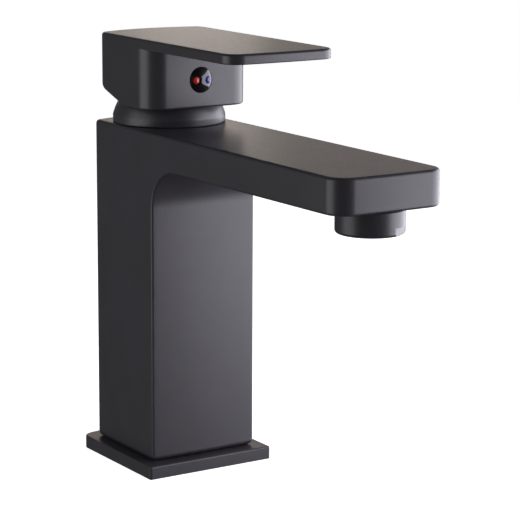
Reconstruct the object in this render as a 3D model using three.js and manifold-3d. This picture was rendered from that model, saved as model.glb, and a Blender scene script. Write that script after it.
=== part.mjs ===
// Single-lever basin mixer tap with a square column, a flat straight spout and a flat lever.
// Millimetres, +Z up, spout towards -Y, near side -X. The origin is on the deck plane, on the
// axis of the 35 mm ceramic cartridge, which is also the axis that the handle swivels about.
import * as THREE from 'three';
import { mergeVertices } from 'three/addons/utils/BufferGeometryUtils.js';
import Module from 'manifold-3d';

const wasm = await Module();
wasm.setup();

// ---- Driving dimensions ---------------------------------------------------------------------
const gap = 0.3;                 // clearance between pieces that sit on or in each other
const roundSteps = 40;           // sides of a full turn on large round pieces
const smallSteps = 24;           // sides of a full turn on small round pieces

const bodyWidth = 45.8;           // column, spout and handle share one width
const bodyFront = -26.3;         // column's front face
const bodySideRear = 18.2;       // where the column's flat sides end
const bodyRearBow = 4.3;         // how far the arched rear face bulges past that
const bodyTop = 133;             // level top of the column and the spout
const spoutTip = -148.2;
const spoutTipThickness = 13;
const spoutRootThickness = 13.4;
const spoutTipRadius = 7.5;      // plan radius of the spout's two front corners
const spoutFillet = 16;          // radius between the spout's underside and the column

const plateWidth = 54.6;
const plateFront = -31.5;
const plateSideRear = 22.8;
const plateRearBow = 3.4;
const plateThickness = 5.1;
const plateRearRadius = 4.5;

const pivotHeight = 130;         // lever pivot, the centre of the dome
const domeRadius = 22.2;
const domeWall = 1.4;
const domeFoot = 133.3;
const domeOpening = 14.8;        // radius of the hole the cartridge's neck comes through

const handleBottom = 140.7;
const handleTop = 167.5;
const handleFront = -23.8;       // front face of the block under the lever plate
const handleSideRear = 13.7;
const handleRearBow = 4.3;
const handleCorner = 8.6;        // plan radius of the block's front corners
const handleClearance = 23;      // spherical hollow that rolls round the dome
const rearRelief = 16;           // degrees that the block's rear edge rises, for tilting
const rearReliefStart = -3;
const leverTip = -81.6;
const leverThickness = 3.8;
const leverTipRadius = 6.5;

const stemLean = 12.5;           // degrees the stem leans forward with the lever down
const stemHalf = 4;              // half the stem's square section
const stemReach = 29;            // pivot to the stem's upper end
const stemDrop = 15;             // pivot to the stem's lower end

const chamberRadius = 17.7;
const chamberFloor = 94;
const threadRadius = 19.25;      // bore that the clamping nut screws into
const threadFloor = 124.2;

const aeratorY = -134.4;
const aeratorRadius = 12.2;      // outside of the ring below the spout
const aeratorBottom = 110.9;
const aeratorThread = 11.4;      // root radius of the M24 x 1 thread
const aeratorSeat = 128.4;
const aeratorFlatTurn = 30;      // degrees the wrench flats are turned from the spout's line

const spigotRadius = 15.2;       // brass spigot brazed under the casting; it centres the plate
const spigotTop = 14;
const pillarRadius = 17;         // casting's pillar, with a shallow seat for the spigot
const pillarFoot = 11.3;
const portX = 7.5;
const portY = 5.5;
const portRadius = 4.5;          // M10 x 1 inlet thread
const waterway = 3.1;            // radius of the bores that carry hot and cold water
const studY = -9.5;
const studRadius = 3.4;          // M8 fixing stud thread

const sealOuter = 4.6;
const outletY = -8;
const cartridgeFoot = 17.3;      // radius of the flange under the 35 mm cartridge
const housingRadius = 17.4;
const boreRadius = 15.2;         // inside of the cartridge housing
const discRadius = 10.6;
const discSeam = 105.5;          // top of the fixed ceramic disc
const neckRadius = 12.5;         // rotor's neck, which turns in the housing's neck
const rotorTop = 138.5;
const pinRadius = 1.9;

const indicatorHeight = 151.4;
const plugRadius = 4.85;
const plugRise = 1.6;            // how far the plug's dome stands out
const plugDepth = 5.2;           // rim of the dome to the back of the plug

// ---- Materials ------------------------------------------------------------------------------
const finish = (color, roughness, metalness) =>
  new THREE.MeshStandardMaterial({ color, roughness, metalness });
const matteBlack = finish(0x3b3b40, 0.45, 0.4);
const brass = finish(0xb08d4a, 0.35, 0.9);
const blackRubber = finish(0x1c1c1e, 0.85, 0);
const acetal = finish(0xd9d9d2, 0.5, 0);
const greyPlastic = finish(0x6d7076, 0.5, 0);
const ceramic = finish(0xf2f0ea, 0.25, 0);
const steel = finish(0x9a9ca0, 0.3, 1);
const screwBlack = finish(0x202022, 0.4, 0.8);
const hotRed = finish(0xb8352c, 0.3, 0);
const coldBlue = finish(0x232c6e, 0.3, 0);

// ---- Solids ---------------------------------------------------------------------------------
const turn = Math.PI / 180;

function solid(geometry) {
  geometry.deleteAttribute('normal');
  geometry.deleteAttribute('uv');
  const merged = mergeVertices(geometry, 1e-4);
  const position = merged.getAttribute('position').array;
  const source = merged.getIndex().array;
  const triangles = [];
  for (let i = 0; i < source.length; i += 3) {
    const [a, b, c] = source.slice(i, i + 3);
    if (a !== b && b !== c && c !== a) triangles.push(a, b, c);
  }
  const make = order => new wasm.Manifold(new wasm.Mesh({
    numProp: 3,
    vertProperties: new Float32Array(position),
    triVerts: new Uint32Array(order),
  }));
  const made = make(triangles);
  return made.volume() > 0 ? made : make(triangles.reverse());
}

function box(x0, x1, y0, y1, z0, z1) {
  const geometry = new THREE.BoxGeometry(x1 - x0, y1 - y0, z1 - z0);
  return solid(geometry.translate((x0 + x1) / 2, (y0 + y1) / 2, (z0 + z1) / 2));
}

function rod(radius, z0, z1, x = 0, y = 0, steps = smallSteps) {
  const geometry = new THREE.CylinderGeometry(radius, radius, z1 - z0, steps);
  return solid(geometry.rotateX(Math.PI / 2).translate(x, y, (z0 + z1) / 2));
}

function rodAlong(axis, radius, from, to, other, height, steps = smallSteps) {
  const geometry = new THREE.CylinderGeometry(radius, radius, to - from, steps);
  const middle = (from + to) / 2;
  if (axis === 'x') geometry.rotateZ(Math.PI / 2).translate(middle, other, height);
  else geometry.translate(other, middle, height);
  return solid(geometry);
}

function turned(profile, steps = roundSteps, x = 0, y = 0) {
  const points = profile.map(([radius, z]) => new THREE.Vector2(radius, z));
  return solid(new THREE.LatheGeometry(points, steps).rotateX(Math.PI / 2).translate(x, y, 0));
}

function ring(inner, outer, z0, z1, steps = smallSteps, x = 0, y = 0) {
  const profile = [[inner, z0], [outer, z0], [outer, z1], [inner, z1], [inner, z0]];
  return turned(profile, steps, x, y);
}

function oRing(radius, section, z) {
  return solid(new THREE.TorusGeometry(radius, section, 8, smallSteps + 8).translate(0, 0, z));
}

function raised(shape, z0, z1, curveSegments = 8) {
  const geometry = new THREE.ExtrudeGeometry(shape, {
    depth: z1 - z0, bevelEnabled: false, curveSegments,
  });
  return solid(geometry.translate(0, 0, z0));
}

// A side profile drawn in (Y, Z) and given a width across X.
function widened(shape, width, curveSegments = 12) {
  const geometry = new THREE.ExtrudeGeometry(shape, {
    depth: width, bevelEnabled: false, curveSegments,
  });
  const across = new THREE.Vector3(1, 0, 0);
  const along = new THREE.Vector3(0, 1, 0);
  const up = new THREE.Vector3(0, 0, 1);
  geometry.translate(0, 0, -width / 2);
  return solid(geometry.applyMatrix4(new THREE.Matrix4().makeBasis(along, up, across)));
}

// Points of the arc through (-half, side), (0, side + bow) and (half, side), from right to left.
function rearArc(half, side, bow, steps = 14) {
  const radius = (half * half + bow * bow) / (2 * bow);
  const reach = Math.asin(half / radius);
  return Array.from({ length: steps + 1 }, (_, i) => {
    const angle = reach * (1 - 2 * i / steps);
    return new THREE.Vector2(radius * Math.sin(angle), side + bow - radius * (1 - Math.cos(angle)));
  });
}

// Plan outline with a straight front, straight sides and an arched rear.
function planOutline({ width, front, sideRear, bow, frontRadius, rearRadius }) {
  const half = width / 2;
  const arc = rearArc(half, sideRear, bow).filter(point => Math.abs(point.x) < half - rearRadius);
  const cornerY = sideRear + bow * 0.12;
  const shape = new THREE.Shape();
  shape.moveTo(-half + frontRadius, front);
  shape.lineTo(half - frontRadius, front);
  shape.absarc(half - frontRadius, front + frontRadius, frontRadius, -Math.PI / 2, 0);
  shape.lineTo(half, sideRear - rearRadius);
  shape.quadraticCurveTo(half, cornerY, arc[0].x, arc[0].y);
  arc.slice(1).forEach(point => shape.lineTo(point.x, point.y));
  shape.quadraticCurveTo(-half, cornerY, -half, sideRear - rearRadius);
  shape.lineTo(-half, front + frontRadius);
  shape.absarc(-half + frontRadius, front + frontRadius, frontRadius, Math.PI, Math.PI * 1.5);
  return shape;
}

function geometryOf(manifold) {
  const { vertProperties, triVerts } = manifold.getMesh();
  const geometry = new THREE.BufferGeometry();
  geometry.setAttribute('position', new THREE.BufferAttribute(vertProperties, 3));
  geometry.setIndex(new THREE.BufferAttribute(triVerts, 1));
  geometry.computeVertexNormals();
  return geometry;
}

const faucet = new THREE.Group();
function addPart(name, manifold, material) {
  const mesh = new THREE.Mesh(geometryOf(manifold), material);
  mesh.name = name;
  faucet.add(mesh);
}

const cut = (piece, tools) => tools.reduce((rest, tool) => rest.subtract(tool), piece);
const join = pieces => pieces.reduce((all, piece) => all.add(piece));

// ---- Body casting: column, spout, cartridge chamber and waterways ---------------------------
const columnPlan = {
  width: bodyWidth, front: bodyFront, sideRear: bodySideRear, bow: bodyRearBow,
  frontRadius: 1, rearRadius: 2,
};

function spoutProfile() {
  const under = bodyTop - spoutRootThickness;
  const shape = new THREE.Shape();
  shape.moveTo(0, bodyTop);
  shape.lineTo(spoutTip, bodyTop);
  shape.lineTo(spoutTip, bodyTop - spoutTipThickness);
  shape.lineTo(bodyFront - spoutFillet, under);
  shape.absarc(bodyFront - spoutFillet, under - spoutFillet, spoutFillet, Math.PI / 2, 0, true);
  shape.lineTo(0, under - spoutFillet);
  return shape;
}

function makeBody() {
  const column = raised(planOutline(columnPlan), plateThickness + 0.1, bodyTop);
  const spoutPlan = planOutline({
    width: bodyWidth, front: spoutTip, sideRear: 2, bow: 1,
    frontRadius: spoutTipRadius, rearRadius: 1,
  });
  const spout = widened(spoutProfile(), bodyWidth).intersect(raised(spoutPlan, 60, bodyTop + 5));
  const pillar = rod(pillarRadius, pillarFoot, 90, 0, 0, roundSteps);

  // The casting is hollow round the central pillar, and open at the bottom.
  const wall = 3.8;
  const coreTop = 82;
  const core = raised(planOutline({
    width: bodyWidth - 2 * wall, front: bodyFront + wall, sideRear: bodySideRear - wall,
    bow: bodyRearBow, frontRadius: 3, rearRadius: 3,
  }), 0, coreTop);

  // Mixed water runs from the chamber's floor, up a riser at the front and along the spout.
  const ductWall = 3.4;
  const ductHalf = bodyWidth / 2 - ductWall;
  const ductBottom = bodyTop - spoutRootThickness + ductWall;
  const ductTop = bodyTop - ductWall;
  const ductEnd = -118;
  const mixingFloor = 84;
  const riserFront = bodyFront + 2.4;
  const riserBack = -20.6;
  const riserHalf = 6;
  const tools = [
    rod(chamberRadius, chamberFloor, threadFloor + 1, 0, 0, roundSteps),
    rod(threadRadius, threadFloor, bodyTop + 1, 0, 0, roundSteps),
    rod(spigotRadius + gap, pillarFoot - 1, spigotTop + gap, 0, 0, roundSteps),
    rod(waterway + gap, mixingFloor + 1, chamberFloor + 1, 0, outletY),
    box(-riserHalf, riserHalf, riserFront, outletY + 2, mixingFloor, mixingFloor + 5),
    box(-riserHalf, riserHalf, riserFront, riserBack, mixingFloor, ductBottom + 2),
    box(-ductHalf, ductHalf, ductEnd, riserBack - 0.6, ductBottom, ductTop),
    box(-7, 7, aeratorY, ductEnd + 1, aeratorSeat - 1, ductTop),
    rod(8, aeratorSeat - 3, ductTop, 0, aeratorY),
    rod(aeratorThread + gap, 110, aeratorSeat - 2.2, 0, aeratorY, roundSteps),
    ...[-portX, portX].map(x => rod(waterway, spigotTop, chamberFloor + 1, x, portY)),
  ];
  return cut(join([cut(join([column, spout]), [core]), pillar]), tools);
}
addPart('body', makeBody(), matteBlack);

// ---- Inlet spigot, base plate and gasket ----------------------------------------------------
function makeSpigot() {
  const ports = [-portX, portX].map(x => rod(portRadius, -1, spigotTop + 1, x, portY, 20));
  const spigot = rod(spigotRadius, 0, spigotTop, 0, 0, roundSteps);
  return cut(spigot, [...ports, rod(studRadius, -1, spigotTop + 1, 0, studY, 16)]);
}
addPart('inlet_spigot', makeSpigot(), brass);

function makeBasePlate() {
  const plate = raised(planOutline({
    width: plateWidth, front: plateFront, sideRear: plateSideRear, bow: plateRearBow,
    frontRadius: 0.8, rearRadius: plateRearRadius,
  }), 0, plateThickness);
  const groove = raised(gasketOutline(gap), -1, 2);
  const grooveIsland = rod(19.4, -1, 2, 0, 0, roundSteps);
  const hole = rod(spigotRadius + gap, -1, plateThickness + 1, 0, 0, roundSteps);
  return cut(plate, [cut(groove, [grooveIsland]), hole]);
}

function gasketOutline(extra) {
  const inset = 4 - extra;
  return planOutline({
    width: plateWidth - 2 * inset, front: plateFront + inset, sideRear: plateSideRear - inset,
    bow: plateRearBow, frontRadius: 1, rearRadius: 3,
  });
}
addPart('base_plate', makeBasePlate(), matteBlack);
addPart('base_gasket',
  cut(raised(gasketOutline(0), 0, 1.7), [rod(19.7, -1, 3, 0, 0, roundSteps)]), blackRubber);

// ---- Cartridge: seals, base, discs, carrier, rotor and housing ------------------------------
const ports = { hot: [-portX, portY], cold: [portX, portY], outlet: [0, outletY] };
for (const [name, [x, y]] of Object.entries(ports)) {
  const seal = ring(3.5, sealOuter, chamberFloor + 0.05, chamberFloor + 1.65, 20, x, y);
  addPart(`${name}_seal`, seal, blackRubber);
}

const drillPorts = (piece, z0, z1, radius) =>
  cut(piece, Object.values(ports).map(([x, y]) => rod(radius, z0, z1, x, y, 20)));

const baseTop = 100.2;
const flange = rod(cartridgeFoot, 94.6, 95.8, 0, 0, roundSteps);
const baseBody = rod(boreRadius - gap, 95, baseTop, 0, 0, roundSteps);
const sealPockets = drillPorts(join([flange, baseBody]), 94, 95.95, sealOuter + gap);
addPart('cartridge_base', drillPorts(sealPockets, 94, 101, waterway), greyPlastic);

const fixedDisc = rod(13.6, baseTop + gap, discSeam, 0, 0, roundSteps);
addPart('fixed_disc', drillPorts(fixedDisc, 100, 106, waterway - 0.2), ceramic);

// The moving disc and its carrier start off centre, because the lever leans forward at rest.
const slideOffset = (pivotHeight - 117) * Math.tan(stemLean * turn);
const discBottom = discSeam + 0.15;
const discTop = 110.6;
const mixingPocket = join([
  rod(5, discBottom - 1, discBottom + 2.4, 0, slideOffset - 3),
  rod(5, discBottom - 1, discBottom + 2.4, 0, slideOffset + 2),
]);
addPart('moving_disc',
  cut(rod(discRadius, discBottom, discTop, 0, slideOffset, roundSteps), [mixingPocket]), ceramic);

const carrierTop = 118.4;
const carrierProfile = [
  [0, discTop + gap], [discRadius + 0.2, discTop + gap], [discRadius + 0.2, 109], [11.9, 109],
  [11.9, carrierTop], [0, carrierTop],
];
const socketHalf = 4.4;
const carrierSocket = box(-socketHalf, socketHalf, slideOffset - socketHalf,
  slideOffset + socketHalf, 114.2, carrierTop + 1);
addPart('disc_carrier',
  cut(turned(carrierProfile, roundSteps, 0, slideOffset), [carrierSocket]), acetal);

const pinHole = rodAlong('x', pinRadius + 0.08, -20, 20, 0, pivotHeight);
const rotorProfile = [
  [0, 118.8], [boreRadius - gap, 118.8], [boreRadius - gap, 121.2], [neckRadius, 121.2],
  [neckRadius, 134.2], [11.1, 134.2], [11.1, 136], [neckRadius, 136], [neckRadius, rotorTop],
  [0, rotorTop],
];
const stemSlot = box(-stemHalf - 0.1, stemHalf + 0.1, -7.2, 7.2, 118, rotorTop + 1);
addPart('rotor', cut(turned(rotorProfile), [stemSlot, pinHole]), acetal);
addPart('rotor_o_ring', oRing(11.85, 0.6, 135.1), blackRubber);

const housingFoot = 96.1;
const housingTop = 137.2;
const housingProfile = [
  [boreRadius, housingFoot], [housingRadius, housingFoot], [housingRadius, threadFloor],
  [14.4, threadFloor], [14.4, housingTop], [neckRadius + 0.1, housingTop],
  [neckRadius + 0.1, 121.5], [boreRadius, 121.5], [boreRadius, housingFoot],
];
addPart('cartridge_housing', turned(housingProfile), greyPlastic);

// ---- Clamping nut and dome cap --------------------------------------------------------------
function makeNut() {
  const thread = threadRadius - gap;
  const body = turned([
    [14.8, threadFloor + gap], [thread, threadFloor + gap], [thread, 133.7], [17.9, 133.7],
    [17.9, 135.5], [19.3, 135.5], [19.3, 136.3], [14.8, 136.3], [14.8, threadFloor + gap],
  ]);
  const hexCorner = 15 / Math.cos(Math.PI / 6);
  const hex = cut(rod(hexCorner, 136, 139.3, 0, 0, 6), [rod(14.8, 135, 140, 0, 0, roundSteps)]);
  return join([body, hex]);
}
addPart('cartridge_nut', makeNut(), brass);
addPart('dome_o_ring', oRing(18.9, 0.85, 134.6), blackRubber);

function spherePoints(radius, fromHeight, toRadius, steps) {
  const low = Math.asin((fromHeight - pivotHeight) / radius);
  const high = Math.acos(toRadius / radius);
  return Array.from({ length: steps + 1 }, (_, i) => {
    const angle = low + (high - low) * i / steps;
    return [radius * Math.cos(angle), pivotHeight + radius * Math.sin(angle)];
  });
}

function makeDomeCap() {
  const lip = domeRadius - 0.2;
  const outer = spherePoints(domeRadius, domeFoot + 1.3, domeOpening, 6);
  const inner = spherePoints(domeRadius - domeWall, domeFoot + 2.2, domeOpening, 4).reverse();
  const foot = [inner[inner.length - 1][0], domeFoot];
  return turned([foot, [lip, domeFoot], [lip, domeFoot + 1.1], ...outer, ...inner, foot]);
}
addPart('dome_cap', makeDomeCap(), matteBlack);

// ---- Handle, stem and what is fastened to them ----------------------------------------------
// A piece made upright along +Z from the pivot, leaned forward with the stem.
function leaned(z0, z1, half, shapeOf) {
  const geometry = shapeOf === 'round'
    ? new THREE.CylinderGeometry(half, half, z1 - z0, smallSteps).rotateX(Math.PI / 2)
    : new THREE.BoxGeometry(2 * half, 2 * half, z1 - z0);
  geometry.translate(0, 0, (z0 + z1) / 2).rotateX(stemLean * turn);
  return solid(geometry.translate(0, 0, pivotHeight));
}

const plugBack = handleFront + plugDepth;

function makeHandle() {
  const plan = {
    width: bodyWidth, sideRear: handleSideRear, bow: handleRearBow, rearRadius: 2,
  };
  const underside = handleTop - leverThickness;
  const block = raised(planOutline({ ...plan, front: handleFront, frontRadius: handleCorner }),
    handleBottom, underside + 1);
  const plate = raised(planOutline({ ...plan, front: leverTip, frontRadius: leverTipRadius }),
    underside, handleTop);

  const reliefRun = 30;
  const relief = new THREE.Shape();
  relief.moveTo(rearReliefStart, handleBottom);
  relief.lineTo(rearReliefStart, handleBottom - 5);
  relief.lineTo(rearReliefStart + reliefRun, handleBottom - 5);
  relief.lineTo(rearReliefStart + reliefRun, handleBottom + reliefRun * Math.tan(rearRelief * turn));

  const hollow = solid(new THREE.SphereGeometry(handleClearance, roundSteps, 20)
    .rotateX(Math.PI / 2).translate(0, 0, pivotHeight));
  const shell = cut(join([block, plate]), [widened(relief, 60), hollow]);
  const socketBoss = leaned(15.5, 25, 7.6, 'round');
  const socket = leaned(15, stemReach + gap, stemHalf + 0.2, 'square');
  const plugHole = rodAlong('y', plugRadius + 0.15, handleFront - 1, plugBack + gap, 0,
    indicatorHeight);
  const screwHole = rodAlong('y', 2.5, plugBack, -6, 0, indicatorHeight);
  return cut(join([shell, socketBoss]), [socket, plugHole, screwHole]);
}
addPart('handle', makeHandle(), matteBlack);

const stemBody = join([
  leaned(-9, stemReach, stemHalf, 'square'), leaned(-stemDrop, -8, 3.5, 'square'),
]);
addPart('stem', cut(stemBody, [pinHole]), brass);
addPart('stem_pin', rodAlong('x', pinRadius, -12, 12, 0, pivotHeight), steel);

const hexKeyRadius = 1.25 / Math.cos(Math.PI / 6);
const screwHead = plugBack + 1.2;
const hexKey = rodAlong('y', hexKeyRadius, screwHead - 1, screwHead + 2.8, 0, indicatorHeight, 6);
addPart('grub_screw', cut(rodAlong('y', 2.35, screwHead, -9.4, 0, indicatorHeight), [hexKey]),
  screwBlack);

// The domed plug hides the grub screw and carries a red and a blue mark.
const crown = handleFront - plugRise;
const marks = { red: [-2.4, hotRed], blue: [2.4, coldBlue] };
const markRadius = 1.35;
const markBack = handleFront + 0.6;
const markDisc = (radius, front, back, x) =>
  rodAlong('y', radius, front, back, x, indicatorHeight, 16);

function makePlug() {
  const curve = (plugRadius * plugRadius + plugRise * plugRise) / (2 * plugRise);
  const reach = Math.asin(plugRadius / curve);
  const dome = Array.from({ length: 7 }, (_, i) => {
    const angle = reach * i / 6;
    return [curve * Math.sin(angle), curve * (1 - Math.cos(angle))];
  });
  const depth = plugBack - crown;
  const profile = [...dome, [plugRadius, depth], [0, depth]];
  const points = profile.map(([radius, back]) => new THREE.Vector2(radius, back));
  const plug = solid(new THREE.LatheGeometry(points, smallSteps + 8)
    .translate(0, crown, indicatorHeight));
  return cut(plug, Object.values(marks).map(([x]) =>
    markDisc(markRadius + 0.1, crown - 1, markBack + 0.1, x)));
}
addPart('indicator_plug', makePlug(), matteBlack);
for (const [name, [x, material]] of Object.entries(marks)) {
  addPart(`indicator_${name}`, markDisc(markRadius, crown + 0.3, markBack, x), material);
}

// ---- Aerator --------------------------------------------------------------------------------
function makeAeratorHousing() {
  const ringTop = 119.7;
  const shell = turned([
    [8.7, aeratorBottom], [aeratorRadius, aeratorBottom], [aeratorRadius, ringTop],
    [aeratorThread, ringTop], [aeratorThread, 124.6], [9.5, 124.6], [9.5, 112.2], [8.7, 112.2],
    [8.7, aeratorBottom],
  ], roundSteps, 0, aeratorY);
  const flatDistance = 11.45;
  const flatTop = 114;
  const flats = [0, 180].map(side => {
    const depth = 3;
    const tool = new THREE.BoxGeometry(20, depth, flatTop - aeratorBottom + 1);
    tool.translate(0, -flatDistance - depth / 2, (flatTop + aeratorBottom - 1) / 2);
    tool.rotateZ((aeratorFlatTurn + side) * turn);
    return solid(tool.translate(0, aeratorY, 0));
  });
  return cut(shell, flats);
}

const circle = (count, radius) => Array.from({ length: count }, (_, i) => {
  const angle = 2 * Math.PI * i / count;
  return [radius * Math.cos(angle), aeratorY + radius * Math.sin(angle)];
});
const nozzles = [...circle(6, 3.2), ...circle(12, 6.4)];
const perforate = (piece, z0, z1, radius) =>
  cut(piece, nozzles.map(([x, y]) => rod(radius, z0, z1, x, y, 8)));

addPart('aerator_housing', makeAeratorHousing(), matteBlack);
addPart('aerator_insert',
  perforate(rod(9.2, 112.5, 121.6, 0, aeratorY), 112, 122, 0.9), greyPlastic);
const screenProfile = [[0, 123.1], [5, 122.8], [9.2, 122], [9.2, 122.8], [5, 123.6], [0, 123.9]];
addPart('aerator_screen', turned(screenProfile, smallSteps, 0, aeratorY), steel);
addPart('aerator_washer', ring(8.7, 11.1, 124.9, 126, smallSteps, 0, aeratorY), blackRubber);

export default faucet;
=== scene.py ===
"""Square single-lever basin mixer: a cast body with a flat spout, a base plate, a domed cap, a flat
lever handle with a glossy hot-and-cold plug, and a screw-in aerator, in satin black.

Lengths in the tables below are millimetres, in the part's own frame: +Z up, spout towards -Y."""

import math

import bmesh
import bpy
from mathutils import Matrix, Vector


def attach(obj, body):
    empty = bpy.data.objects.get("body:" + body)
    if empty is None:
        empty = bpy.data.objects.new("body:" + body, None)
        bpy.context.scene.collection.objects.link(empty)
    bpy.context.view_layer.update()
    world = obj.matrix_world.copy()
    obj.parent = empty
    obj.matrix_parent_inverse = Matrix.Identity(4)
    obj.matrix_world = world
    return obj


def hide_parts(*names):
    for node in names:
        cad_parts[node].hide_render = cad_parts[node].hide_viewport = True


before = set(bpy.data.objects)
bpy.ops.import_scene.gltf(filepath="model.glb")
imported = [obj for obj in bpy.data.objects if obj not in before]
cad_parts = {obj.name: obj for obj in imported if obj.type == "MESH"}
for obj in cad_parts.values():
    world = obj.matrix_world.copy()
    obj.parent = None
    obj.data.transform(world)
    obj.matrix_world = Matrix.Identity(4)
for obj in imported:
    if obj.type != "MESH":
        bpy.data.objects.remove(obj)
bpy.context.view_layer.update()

MM = 0.001

# ---- Driving dimensions ----------------------------------------------------------------------
HALF_WIDTH = 22.9            # half of the width that column, spout and handle share
BODY_FRONT = -26.3
BODY_SIDE_REAR = 18.2
BODY_BOW = 4.3
BODY_TOP = 133.0
BODY_FOOT = 5.2
SPOUT_TIP = -148.2
SPOUT_TIP_UNDER = 120.0
SPOUT_ROOT_UNDER = 119.6
SPOUT_CORNER = 7.5
SPOUT_FILLET = 16.0

PLATE_HALF = 27.3
PLATE_FRONT = -31.5
PLATE_SIDE_REAR = 22.8
PLATE_BOW = 3.4
PLATE_TOP = 5.1

PIVOT = 130.0
DOME_RADIUS = 22.6
DOME_INSIDE = 20.8
DOME_FOOT = 133.05
DOME_LIP = 2.4               # height of the plain rim under the dome's faint crease
DOME_OPENING = 14.8

HANDLE_BOTTOM = 140.7
HANDLE_TOP = 167.5
LEVER_UNDER = 163.7
LEVER_TIP = -81.6
LEVER_CORNER = 6.5
BLOCK_FRONT = -23.8
BLOCK_CORNER = 8.6
HANDLE_SIDE_REAR = 13.7
HANDLE_BOW = 4.3
HANDLE_HOLLOW = 23.0         # radius of the hollow over the dome
RELIEF_START = -3.0
RELIEF_SLOPE = math.tan(math.radians(16))
STEM_LEAN = math.radians(12.5)

PLUG_HEIGHT = 151.4
PLUG_RADIUS = 4.85
PLUG_RISE = 1.6
PLUG_BACK = -18.6
MARK_OFFSET = 2.4
MARK_RADIUS = 1.35

AERATOR_Y = -134.4
AERATOR_RADIUS = 12.2
AERATOR_BOTTOM = 110.9
AERATOR_TURN = math.radians(30)

# Inside the casting
WALL = 3.8                   # around the hollow in the lower column
HOLLOW_TOP = 82
PILLAR_RADIUS = 17
PILLAR_FOOT = 11.3
SPIGOT_HOLE = 15.5
SPIGOT_SEAT = 14.3
CHAMBER_RADIUS = 17.7
CHAMBER_FLOOR = 94
NUT_RADIUS = 19.25
NUT_FLOOR = 124.2
WATERWAY = 3.1
INLET_X = 7.5
INLET_Y = 5.5
OUTLET_Y = -8
OUTLET_RADIUS = 3.4
PASSAGE_TOP = 129.6

# Camera: angles from the part's own axes, lens in millimetres, target and distance in metres
AZIMUTH = math.radians(-32.88)
ELEVATION = math.radians(11.695)
ROLL = math.radians(0.288)
LENS = 151.24
CAMERA_TARGET = (0.042361, 0, 0.073046)
CAMERA_DISTANCE = 0.88404


# ---- Mesh helpers ----------------------------------------------------------------------------
def arc(cx, cy, radius, start, end, steps):
    """Points of a circular arc; angles in degrees, anticlockwise from +X."""
    points = []
    for i in range(steps + 1):
        angle = math.radians(start + (end - start) * i / steps)
        points.append((cx + radius * math.cos(angle), cy + radius * math.sin(angle)))
    return points


def mirrored(points):
    return [(-p[0], *p[1:]) for p in reversed(points)]


def bowed_front(half, front, corner, bow=400, steps=16):
    """Points, from left to right, of a very slightly crowned front face between round corners."""
    middle = front + bow
    lean = math.asin((half - corner) / (bow - corner))
    reach = math.degrees(lean)
    points = arc(0, middle, bow, -90 - reach, -90 + reach, steps)
    if corner == 0:
        return points
    centre_y = middle - (bow - corner) * math.cos(lean)
    right = arc(half - corner, centre_y, corner, -90 + reach, 0, 18)[1:]
    return mirrored(right) + points + right


def rounded_rear(half, side, bow, corner):
    """Points, from right to left, of a shallow rear arc between round corners."""
    radius = (half * half + bow * bow) / (2 * bow)
    arched = bowed_front(half, -side - bow, corner, radius, 32)
    return [(x, -y) for x, y in reversed(arched)]


class Shell:
    """Collects the faces of one closed shell in millimetres, with a rounding for marked edges."""

    def __init__(self):
        self.bm = bmesh.new()
        self.known = {}
        self.radii = {}

    def vertex(self, point):
        key = tuple(round(c, 4) for c in point)
        if key not in self.known:
            self.known[key] = self.bm.verts.new([c * MM for c in point])
        return self.known[key]

    def face(self, points):
        return self.bm.faces.new([self.vertex(p) for p in points])

    def round_chain(self, points, radius):
        """Marks the edges along a chain of points to be rounded to that radius."""
        for a, b in zip(points, points[1:]):
            self.radii[frozenset((self.vertex(a), self.vertex(b)))] = radius

    def object(self, name, segments=5):
        bmesh.ops.recalc_face_normals(self.bm, faces=self.bm.faces)
        widest = max(self.radii.values())
        weights = self.bm.edges.layers.float.new("bevel_weight_edge")
        for edge in self.bm.edges:
            edge[weights] = self.radii.get(frozenset(edge.verts), 0) / widest
        obj = new_object(name, self.bm)
        bevel = obj.modifiers.new("bevel", "BEVEL")
        bevel.limit_method = "WEIGHT"
        bevel.width = widest * MM
        bevel.segments = segments
        bevel.use_clamp_overlap = False
        bake(obj)
        return obj


def new_object(name, bm):
    mesh = bpy.data.meshes.new(name)
    bm.to_mesh(mesh)
    bm.free()
    obj = bpy.data.objects.new(name, mesh)
    bpy.context.scene.collection.objects.link(obj)
    return obj


def bake(obj):
    """Applies every modifier to the object's mesh."""
    graph = bpy.context.evaluated_depsgraph_get()
    mesh = bpy.data.meshes.new_from_object(obj.evaluated_get(graph))
    obj.modifiers.clear()
    old = obj.data
    obj.data = mesh
    bpy.data.meshes.remove(old)
    return obj


def combine(obj, operation, tools):
    """Joins tools to an object, or cuts them out of it, and removes the tools."""
    for tool in tools:
        modifier = obj.modifiers.new(operation, "BOOLEAN")
        modifier.operation = operation
        modifier.solver = "EXACT"
        modifier.object = tool
    bake(obj)
    for tool in tools:
        bpy.data.objects.remove(tool)
    bm = bmesh.new()
    bm.from_mesh(obj.data)
    bmesh.ops.remove_doubles(bm, verts=bm.verts, dist=1e-6)
    bmesh.ops.dissolve_degenerate(bm, edges=bm.edges, dist=1e-7)
    bm.to_mesh(obj.data)
    bm.free()
    return obj


def smooth(obj, sharp_above=28):
    """Shades flat faces flat and rounded edges round."""
    mesh = obj.data
    mesh.shade_smooth()
    mesh.set_sharp_from_angle(angle=math.radians(sharp_above))
    weighted = obj.modifiers.new("normals", "WEIGHTED_NORMAL")
    weighted.keep_sharp = True
    weighted.weight = 80
    bake(obj)
    return obj


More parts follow.
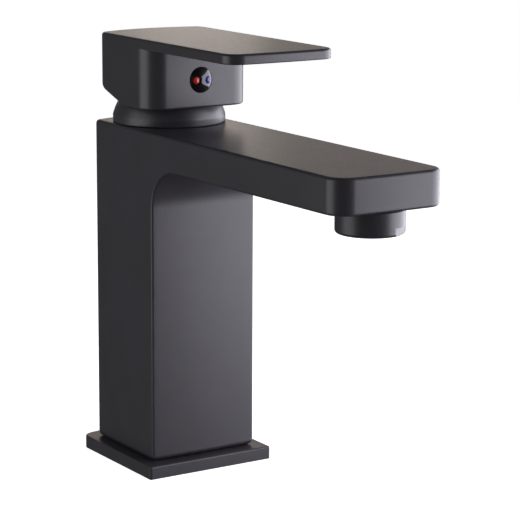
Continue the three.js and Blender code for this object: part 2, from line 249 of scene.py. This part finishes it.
def lathe(name, profile, steps=128, closed=True):
    """Turns a profile of (radius, height) points, in millimetres, about Z."""
    bm = bmesh.new()
    columns = []
    for radius, height in profile:
        if radius < 1e-6:
            columns.append([bm.verts.new((0, 0, height * MM))])
            continue
        row = []
        for i in range(steps):
            angle = 2 * math.pi * (i + 0.5) / steps
            row.append(bm.verts.new((radius * MM * math.cos(angle),
                                     radius * MM * math.sin(angle), height * MM)))
        columns.append(row)
    pairs = list(zip(columns, columns[1:]))
    if closed:
        pairs.append((columns[-1], columns[0]))
    for low, high in pairs:
        if len(low) == 1 and len(high) == 1:
            continue
        for i in range(steps):
            j = (i + 1) % steps
            corners = [low[i % len(low)], low[j % len(low)], high[j % len(high)], high[i % len(high)]]
            bm.faces.new(list(dict.fromkeys(corners)))
    bmesh.ops.recalc_face_normals(bm, faces=bm.faces)
    return new_object(name, bm)


def place(obj, matrix):
    obj.data.transform(matrix)
    return obj


def shift(x, y, z):
    return Matrix.Translation((x * MM, y * MM, z * MM))


def rod(radius, low, high, x=0, y=0, steps=64):
    """An upright round tool."""
    tool = lathe("tool", [(0, low), (radius, low), (radius, high), (0, high)], steps, closed=False)
    return place(tool, shift(x, y, 0))


def rod_y(radius, front, back, x, z, steps=64):
    """A round tool along Y."""
    tool = lathe("tool", [(0, front), (radius, front), (radius, back), (0, back)], steps, closed=False)
    return place(tool, shift(x, 0, z) @ Matrix.Rotation(-math.pi / 2, 4, "X"))


def block(x0, x1, y0, y1, z0, z1):
    """A square-edged tool."""
    bm = bmesh.new()
    bmesh.ops.create_cube(bm, size=1)
    scale = Matrix.Diagonal(((x1 - x0) * MM, (y1 - y0) * MM, (z1 - z0) * MM, 1))
    bmesh.ops.transform(bm, matrix=shift((x0 + x1) / 2, (y0 + y1) / 2, (z0 + z1) / 2) @ scale,
                        verts=bm.verts)
    return new_object("tool", bm)


def merged(tools):
    """Puts separate tools that don't touch each other into one object."""
    bm = bmesh.new()
    for tool in tools:
        bm.from_mesh(tool.data)
        bpy.data.objects.remove(tool)
    return new_object("tool", bm)


def at(points, height):
    """Gives plan points a height, which may depend on Y."""
    if callable(height):
        return [(x, y, height(y)) for x, y in points]
    return [(x, y, height) for x, y in points]


def strips(shell, lower, upper):
    for i in range(len(lower) - 1):
        shell.face([lower[i], lower[i + 1], upper[i + 1], upper[i]])


def prism(name, half, front, side, bow, low, high, front_corner, rear_corner, edges=(0.05, 0.05)):
    """A block with a straight front and an arched rear; edges are its lower and upper roundings."""
    shell = Shell()
    rear = rounded_rear(half, side, bow, rear_corner)
    plan = [(-half, front), (half, front)] + rear
    loop = plan + plan[:1]
    shell.face(at(plan, high))
    shell.face(at(plan, low)[::-1])
    strips(shell, at(loop, low), at(loop, high))
    shell.round_chain(at(loop, low), edges[0])
    shell.round_chain(at(loop, high), edges[1])
    for x, y in plan[:2]:
        shell.round_chain([(x, y, low), (x, y, high)], front_corner)
    return shell.object(name)


# ---- Body ------------------------------------------------------------------------------------
def make_body():
    """Column and spout in one shell, joined by the fillet under the spout."""
    shell = Shell()
    fillet_z = SPOUT_ROOT_UNDER - SPOUT_FILLET
    fillet_y = BODY_FRONT - SPOUT_FILLET
    rise = (SPOUT_TIP_UNDER - SPOUT_ROOT_UNDER) / (SPOUT_TIP - fillet_y)

    def under(y):
        return SPOUT_ROOT_UNDER + rise * (y - fillet_y)

    tip = bowed_front(HALF_WIDTH, SPOUT_TIP, SPOUT_CORNER)
    rear = rounded_rear(HALF_WIDTH, BODY_SIDE_REAR, BODY_BOW, 2.4)
    front = bowed_front(HALF_WIDTH, BODY_FRONT, 0)
    profiles = [[(x, along, z) for along, z in arc(y - SPOUT_FILLET, fillet_z, SPOUT_FILLET, 90, 0, 28)]
                + [(x, y, BODY_FOOT)] for x, y in front]
    side = profiles[-1]

    shell.face(at(tip + rear, BODY_TOP))
    strips(shell, at(tip, under), at(tip, BODY_TOP))
    strips(shell, at(rear, BODY_FOOT), at(rear, BODY_TOP))
    right = [*at(tip[-1:], under), *side, *at(rear[:1], BODY_FOOT), *at(rear[:1], BODY_TOP),
             *at(tip[-1:], BODY_TOP)]
    shell.face(right)
    shell.face(mirrored(right))
    shell.face([*at(tip, under), *[profile[0] for profile in reversed(profiles)]][::-1])
    for left_profile, right_profile in zip(profiles, profiles[1:]):
        strips(shell, left_profile, right_profile)
    shell.face([*at(front, BODY_FOOT), *at(rear, BODY_FOOT)][::-1])

    loop = tip + rear
    shell.round_chain(at(loop + loop[:1], BODY_TOP), 1.4)
    shell.round_chain(at(tip, under), 1.1)
    chain = [*at(tip[-1:], under), *side]
    shell.round_chain(chain, 0.9)
    shell.round_chain(mirrored(chain), 0.9)
    bottom = [*at(front, BODY_FOOT), *at(rear, BODY_FOOT)]
    shell.round_chain(bottom + bottom[:1], 2)
    return shell.object("faucet_casting")


def finish_body(body):
    """Cuts the cartridge chamber, thread bores and waterways into the casting."""
    hollow = prism("tool", HALF_WIDTH - WALL, BODY_FRONT + WALL, BODY_SIDE_REAR - WALL, BODY_BOW,
                   0, HOLLOW_TOP, 3, 3)
    combine(body, "DIFFERENCE", [hollow])
    combine(body, "UNION", [rod(PILLAR_RADIUS, PILLAR_FOOT, 90, steps=96)])
    tools = [
        rod(CHAMBER_RADIUS, CHAMBER_FLOOR, 125),
        rod(NUT_RADIUS, NUT_FLOOR, 140),
        rod(SPIGOT_HOLE, 5, SPIGOT_SEAT),
        rod(OUTLET_RADIUS, 85, 95, 0, OUTLET_Y),
        block(-6, 6, -23.9, -6, 84, 89),
        block(-6, 6, -23.9, -20.6, 84, 125),
        block(-19.5, 19.5, -118, -21.2, 123, PASSAGE_TOP),
        block(-7, 7, AERATOR_Y, -117, 127.4, PASSAGE_TOP),
        rod(8, 125.4, PASSAGE_TOP, 0, AERATOR_Y),
        rod(11.7, 105, 126.2, 0, AERATOR_Y),
        rod(WATERWAY, 12, 95, -INLET_X, INLET_Y),
        rod(WATERWAY, 12, 95, INLET_X, INLET_Y),
    ]
    return smooth(combine(body, "DIFFERENCE", tools))


# ---- Handle ----------------------------------------------------------------------------------
def make_handle():
    """The block and the lever plate in one shell, with the rear underside rising."""
    shell = Shell()

    def relief(y):
        return HANDLE_BOTTOM + max(0, y - RELIEF_START) * RELIEF_SLOPE

    tip = bowed_front(HALF_WIDTH, LEVER_TIP, LEVER_CORNER)
    front = bowed_front(HALF_WIDTH, BLOCK_FRONT, BLOCK_CORNER)
    rear = rounded_rear(HALF_WIDTH, HANDLE_SIDE_REAR, HANDLE_BOW, 4.2)

    shell.face(at(tip + rear, HANDLE_TOP))
    strips(shell, at(tip, LEVER_UNDER), at(tip, HANDLE_TOP))
    strips(shell, at(rear, relief), at(rear, HANDLE_TOP))
    strips(shell, at(front, HANDLE_BOTTOM), at(front, LEVER_UNDER))
    shell.face(at(tip, LEVER_UNDER)[::-1] + at(front, LEVER_UNDER))
    start = (HALF_WIDTH, RELIEF_START, HANDLE_BOTTOM)
    right = [*at(tip[-1:], LEVER_UNDER), *at(front[-1:], LEVER_UNDER), *at(front[-1:], HANDLE_BOTTOM),
             start, *at(rear[:1], relief), *at(rear[:1], HANDLE_TOP), *at(tip[-1:], HANDLE_TOP)]
    shell.face(right)
    shell.face(mirrored(right))
    other_start = (-start[0], *start[1:])
    shell.face([*at(front, HANDLE_BOTTOM), start, other_start][::-1])
    shell.face([start, *at(rear, relief), other_start][::-1])

    loop = tip + rear
    shell.round_chain(at(loop + loop[:1], HANDLE_TOP), 1.1)
    edge = [*at(tip, LEVER_UNDER), *at(front[-1:], LEVER_UNDER)]
    shell.round_chain([*at(front[:1], LEVER_UNDER), *edge], 0.5)
    bottom = [*at(front, HANDLE_BOTTOM), start, *at(rear, relief), other_start]
    shell.round_chain(bottom + bottom[:1], 0.9)
    shell.round_chain(at(rear, relief), 2.6)
    return shell.object("lever_handle")


def leaned(tool):
    """Leans an upright tool forward with the stem, and lifts it to the pivot."""
    return place(tool, shift(0, 0, PIVOT) @ Matrix.Rotation(STEM_LEAN, 4, "X"))


def sphere(radius, height, steps=96):
    rings = steps // 2
    profile = [(radius * math.sin(math.pi * i / rings), -radius * math.cos(math.pi * i / rings))
               for i in range(rings + 1)]
    return place(lathe("tool", profile, steps, closed=False), shift(0, 0, height))


def finish_handle(handle):
    """Hollows the handle over the dome, and adds the stem's boss and socket and the plug's hole."""
    combine(handle, "DIFFERENCE", [sphere(HANDLE_HOLLOW, PIVOT)])
    boss = leaned(rod(7.6, 15.5, 25))
    combine(handle, "UNION", [boss])
    tools = [
        leaned(block(-4.2, 4.2, -4.2, 4.2, 10, 29.3)),
        rod_y(5, BLOCK_FRONT - 2, PLUG_BACK + 0.3, 0, PLUG_HEIGHT, 96),
        rod_y(2.5, PLUG_BACK, -6, 0, PLUG_HEIGHT),
    ]
    return smooth(combine(handle, "DIFFERENCE", tools))


# ---- Base plate, dome, plug, marks and aerator -------------------------------------------------
def make_plate():
    """The cover plate, with the gasket's groove underneath and a hole for the spigot."""
    plate = prism("cover_plate", PLATE_HALF, PLATE_FRONT, PLATE_SIDE_REAR, PLATE_BOW, 0, PLATE_TOP,
                  0.9, 4.5, edges=(0.2, 0.6))
    inset = 3.7
    groove = prism("tool", PLATE_HALF - inset, PLATE_FRONT + inset, PLATE_SIDE_REAR - inset,
                   PLATE_BOW, -1, 2, 1, 3)
    combine(groove, "DIFFERENCE", [rod(19.4, -2, 3, steps=96)])
    return smooth(combine(plate, "DIFFERENCE", [groove, rod(15.5, -1, 6, steps=96)]))


def make_dome():
    """A thin cap round the pivot, with a plain rim at its foot."""
    edge = 0.5
    low = math.asin((DOME_FOOT + DOME_LIP + 0.25 - PIVOT) / DOME_RADIUS)
    high = math.acos((DOME_OPENING + 0.1) / DOME_RADIUS)
    outer = arc(0, PIVOT, DOME_RADIUS, math.degrees(low), math.degrees(high), 40)
    low = math.asin((DOME_FOOT + 2.2 - PIVOT) / DOME_INSIDE)
    high = math.acos((DOME_OPENING + 0.1) / DOME_INSIDE)
    inner = arc(0, PIVOT, DOME_INSIDE, math.degrees(high), math.degrees(low), 24)
    rim = outer[0][0] - 0.05
    foot = arc(rim - edge, DOME_FOOT + edge, edge, -90, 0, 8) + [(rim, DOME_FOOT + DOME_LIP)]
    profile = [(inner[-1][0], DOME_FOOT)] + foot + outer + inner
    return smooth(lathe("dome_cover", profile), 35)


def make_plug():
    """A shallow glossy dome, drilled for the two marks."""
    curve = (PLUG_RADIUS ** 2 + PLUG_RISE ** 2) / (2 * PLUG_RISE)
    reach = math.degrees(math.asin(PLUG_RADIUS / curve))
    crown = arc(0, -curve + PLUG_RISE, curve, 90, 90 - reach, 24)
    depth = PLUG_BACK - BLOCK_FRONT
    profile = crown + [(PLUG_RADIUS, -depth + 0.4), (PLUG_RADIUS - 0.4, -depth), (0, -depth)]
    plug = lathe("indicator_dome", profile, 96, closed=False)
    stand = shift(0, BLOCK_FRONT, PLUG_HEIGHT) @ Matrix.Rotation(math.pi / 2, 4, "X")
    place(plug, stand)
    holes = [rod_y(MARK_RADIUS + 0.08, BLOCK_FRONT - 3, BLOCK_FRONT + 0.7, x, PLUG_HEIGHT, 48)
             for x in (-MARK_OFFSET, MARK_OFFSET)]
    return smooth(combine(plug, "DIFFERENCE", holes))


def make_mark(name, x):
    """A small glossy button with a domed front, set flush in the plug."""
    depth = 1.6
    rise = 0.35
    curve = (MARK_RADIUS ** 2 + rise ** 2) / (2 * rise)
    reach = math.degrees(math.asin(MARK_RADIUS / curve))
    crown = arc(0, -curve + rise, curve, 90, 90 - reach, 10)
    profile = crown + [(MARK_RADIUS, -depth), (0, -depth)]
    mark = lathe(name, profile, 48, closed=False)
    place(mark, shift(x, BLOCK_FRONT - 1.0, PLUG_HEIGHT) @ Matrix.Rotation(math.pi / 2, 4, "X"))
    return smooth(mark)


def make_aerator_ring():
    """The threaded ring, with two wrench flats near its foot."""
    edge = 1.2
    top = 119.7
    bottom = AERATOR_BOTTOM
    outside = arc(AERATOR_RADIUS - edge, bottom + edge, edge, -90, 0, 8)
    outside += [(AERATOR_RADIUS, top - 0.3), (AERATOR_RADIUS - 0.3, top), (11.4, top)]
    threads = []
    for i in range(5):
        z = top + 0.3 + i
        threads += [(11.4, z), (10.9, z + 0.5)]
    inside = [(10.9, 124.6), (9.5, 124.6), (9.5, 112.2), (8.9, 112.2), (8.7, 112), (8.7, bottom + 0.3)]
    profile = [(9, bottom)] + outside + threads + inside
    ring = lathe("aerator_ring", profile)
    place(ring, shift(0, AERATOR_Y, 0))
    flats = []
    for side in (0, math.pi):
        tool = block(-10, 10, -16, -11.45, bottom - 1, 114)
        spin = Matrix.Rotation(AERATOR_TURN + side, 4, "Z")
        flats.append(place(tool, shift(0, AERATOR_Y, 0) @ spin))
    return smooth(combine(ring, "DIFFERENCE", flats), 35)


def make_aerator_grid():
    """The moulded insert: a rimmed disc with two rings of raised nozzles."""
    face = 112.9
    rim = [(8.1, 112.9), (8.1, 112.6), (8.3, 112.5), (9.0, 112.5), (9.2, 112.7)]
    grid = lathe("aerator_grid", [(0, face)] + rim + [(9.2, 121.6), (0, 121.6)], 96, closed=False)
    place(grid, shift(0, AERATOR_Y, 0))
    collars, bores = [], []
    for count, radius in ((6, 3.2), (12, 6.4)):
        for i in range(count):
            angle = 2 * math.pi * i / count
            x = radius * math.cos(angle)
            y = AERATOR_Y + radius * math.sin(angle)
            collars.append(rod(1.25, 112.55, 114, x, y, 24))
            bores.append(rod(0.85, 112, 122, x, y, 24))
    combine(grid, "UNION", [merged(collars)])
    return smooth(combine(grid, "DIFFERENCE", [merged(bores)]))


# ---- Materials -------------------------------------------------------------------------------
def material(name, dark, light, roughness, cloud=60, grain=2500, bump=0.06, **shader):
    """A finish whose colour, roughness and surface vary a little over cloudy and fine noise."""
    made = bpy.data.materials.new(name)
    made.use_nodes = True
    nodes = made.node_tree.nodes
    links = made.node_tree.links
    principled = nodes["Principled BSDF"]
    for socket, value in shader.items():
        principled.inputs[socket.replace("_", " ")].default_value = value
    coordinates = nodes.new("ShaderNodeTexCoord")

    def noise(scale, detail):
        node = nodes.new("ShaderNodeTexNoise")
        node.inputs["Scale"].default_value = scale
        node.inputs["Detail"].default_value = detail
        links.new(coordinates.outputs["Object"], node.inputs["Vector"])
        return node

    broad = noise(cloud, 4)
    fine = noise(grain, 3)
    colour = nodes.new("ShaderNodeValToRGB")
    colour.color_ramp.elements[0].position = 0.35
    colour.color_ramp.elements[1].position = 0.65
    colour.color_ramp.elements[0].color = (*dark, 1)
    colour.color_ramp.elements[1].color = (*light, 1)
    links.new(broad.outputs["Fac"], colour.inputs["Fac"])
    links.new(colour.outputs["Color"], principled.inputs["Base Color"])
    spread = nodes.new("ShaderNodeMapRange")
    spread.inputs["From Min"].default_value = 0.3
    spread.inputs["From Max"].default_value = 0.7
    spread.inputs["To Min"].default_value = roughness[0]
    spread.inputs["To Max"].default_value = roughness[1]
    links.new(fine.outputs["Fac"], spread.inputs["Value"])
    links.new(spread.outputs["Result"], principled.inputs["Roughness"])
    relief = nodes.new("ShaderNodeBump")
    relief.inputs["Strength"].default_value = bump
    relief.inputs["Distance"].default_value = 0.0002
    links.new(fine.outputs["Fac"], relief.inputs["Height"])
    links.new(relief.outputs["Normal"], principled.inputs["Normal"])
    return made


coating = material("satin_black_coating", (0.031, 0.0285, 0.034), (0.036, 0.0335, 0.04),
                   (0.33, 0.42), grain=1800, bump=0.12)
handle_coating = material("satin_black_handle", (0.031, 0.0285, 0.033), (0.036, 0.0335, 0.038),
                          (0.31, 0.39), grain=1800, bump=0.12)
gloss = material("gloss_black", (0.006, 0.006, 0.007), (0.009, 0.009, 0.01), (0.04, 0.07), bump=0.01)
red = material("gloss_red", (0.5, 0.02, 0.012), (0.62, 0.035, 0.02), (0.06, 0.1), cloud=900, bump=0.02)
blue = material("gloss_blue", (0.012, 0.03, 0.2), (0.02, 0.045, 0.28), (0.06, 0.1), cloud=900,
                bump=0.02)
brass = material("machined_brass", (0.55, 0.36, 0.12), (0.72, 0.5, 0.2), (0.25, 0.4), cloud=150,
                 Metallic=1)
rubber = material("black_rubber", (0.012, 0.012, 0.013), (0.02, 0.02, 0.021), (0.7, 0.85), bump=0.2)
white_plastic = material("acetal", (0.68, 0.68, 0.64), (0.76, 0.76, 0.72), (0.42, 0.52))
grey_plastic = material("grey_plastic", (0.1, 0.105, 0.11), (0.14, 0.145, 0.15), (0.4, 0.5), bump=0.1)
ceramic = material("lapped_ceramic", (0.78, 0.76, 0.71), (0.84, 0.82, 0.77), (0.12, 0.2), bump=0.02)
steel = material("stainless", (0.42, 0.42, 0.43), (0.52, 0.52, 0.53), (0.22, 0.34), Metallic=1)
dark_steel = material("blackened_steel", (0.03, 0.03, 0.032), (0.05, 0.05, 0.052), (0.35, 0.45),
                      Metallic=1)

NODE_FINISHES = {
    "inlet_spigot": brass, "base_gasket": rubber, "hot_seal": rubber, "cold_seal": rubber,
    "outlet_seal": rubber, "cartridge_base": grey_plastic, "fixed_disc": ceramic,
    "moving_disc": ceramic, "disc_carrier": white_plastic, "rotor": white_plastic,
    "rotor_o_ring": rubber, "cartridge_housing": grey_plastic, "cartridge_nut": brass,
    "dome_o_ring": rubber, "stem": brass, "stem_pin": steel, "grub_screw": dark_steel,
    "aerator_screen": steel, "aerator_washer": rubber,
}
for node, finish in NODE_FINISHES.items():
    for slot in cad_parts[node].material_slots:
        slot.material = finish

PIECES = [
    (finish_body(make_body()), "faucet_body", "body", "body_black", coating),
    (finish_handle(make_handle()), "lever", "handle", "handle_black", handle_coating),
    (make_plate(), "faucet_body", "base_plate", "body_black", coating),
    (make_dome(), "faucet_body", "dome_cap", "body_black", coating),
    (make_plug(), "lever", "indicator_plug", "plug_black", gloss),
    (make_mark("mark_hot", -MARK_OFFSET), "lever", "indicator_red", "mark_red", red),
    (make_mark("mark_cold", MARK_OFFSET), "lever", "indicator_blue", "mark_blue", blue),
    (make_aerator_ring(), "faucet_body", "aerator_housing", "body_black", coating),
    (make_aerator_grid(), "faucet_body", "aerator_insert", "grey_plastic", grey_plastic),
]
for piece, rides_on, stands_for, finish_slot, finish in PIECES:
    piece.data.materials.clear()
    piece.data.materials.append(finish)
    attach(piece, rides_on)
    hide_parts(stands_for)


# ---- Stage, light and camera -----------------------------------------------------------------
def make_floor():
    """A pale, faintly shining floor, hidden from reflections, bounced light and shadows."""
    bm = bmesh.new()
    bmesh.ops.create_grid(bm, x_segments=1, y_segments=1, size=20)
    floor = new_object("floor", bm)
    pale = material("pale_floor", (0.86, 0.86, 0.86), (0.9, 0.9, 0.9), (0.75, 0.85), cloud=3,
                    grain=200, bump=0, Emission_Color=(1, 1, 1, 1), Emission_Strength=0.9)
    floor.data.materials.append(pale)
    floor.visible_glossy = False
    floor.visible_diffuse = False
    floor.visible_shadow = False


def softbox(name, bearing, distance, width, low, high, radiance, colour):
    """An upright softbox facing the part; its bearing is in degrees from -Y towards -X."""
    angle = math.radians(bearing)
    data = bpy.data.lights.new(name, "AREA")
    data.shape = "RECTANGLE"
    data.size = width * MM
    data.size_y = (high - low) * MM
    data.energy = radiance * math.pi * data.size * data.size_y
    data.color = colour
    lamp = bpy.data.objects.new(name, data)
    bpy.context.scene.collection.objects.link(lamp)
    lamp.location = (-math.sin(angle) * distance * MM, -math.cos(angle) * distance * MM,
                     (low + high) / 2 * MM)
    facing = Vector((math.sin(angle), math.cos(angle), 0))
    lamp.rotation_euler = facing.to_track_quat("-Z", "Y").to_euler()
    lamp.visible_camera = False


def make_camera():
    """Looks down a little on the near side of the spout, with a long lens."""
    back = Vector((math.sin(AZIMUTH) * math.cos(ELEVATION),
                   -math.cos(AZIMUTH) * math.cos(ELEVATION), math.sin(ELEVATION)))
    right = Vector((math.cos(AZIMUTH), math.sin(AZIMUTH), 0))
    up = back.cross(right)
    turned_right = right * math.cos(ROLL) + up * math.sin(ROLL)
    turned_up = up * math.cos(ROLL) - right * math.sin(ROLL)
    data = bpy.data.cameras.new("camera")
    data.lens = LENS
    data.sensor_width = 36
    data.clip_start = 0.01
    camera = bpy.data.objects.new("camera", data)
    bpy.context.scene.collection.objects.link(camera)
    place_at = Vector(CAMERA_TARGET) + back * CAMERA_DISTANCE
    camera.matrix_world = Matrix.Translation(place_at) @ Matrix(
        (turned_right, turned_up, back)).transposed().to_4x4()
    bpy.context.scene.camera = camera


make_floor()
make_camera()
softbox("right", -66, 450, 820, -90, 350, 5.0, (0.92, 0.905, 1))
softbox("left", 95, 450, 380, -90, 350, 1.9, (0.96, 0.95, 1))
softbox("rear_left", -158, 600, 300, 160, 330, 1.3, (1, 0.89, 0.8))
softbox("rear_right", -132, 600, 420, 160, 320, 0.75, (1, 0.86, 0.76))

world = bpy.data.worlds.new("world")
world.use_nodes = True
world.node_tree.nodes["Background"].inputs["Color"].default_value = (1, 1, 1, 1)
world.node_tree.nodes["Background"].inputs["Strength"].default_value = 0.12
bpy.context.scene.world = world
bpy.context.scene.view_settings.view_transform = "Standard"
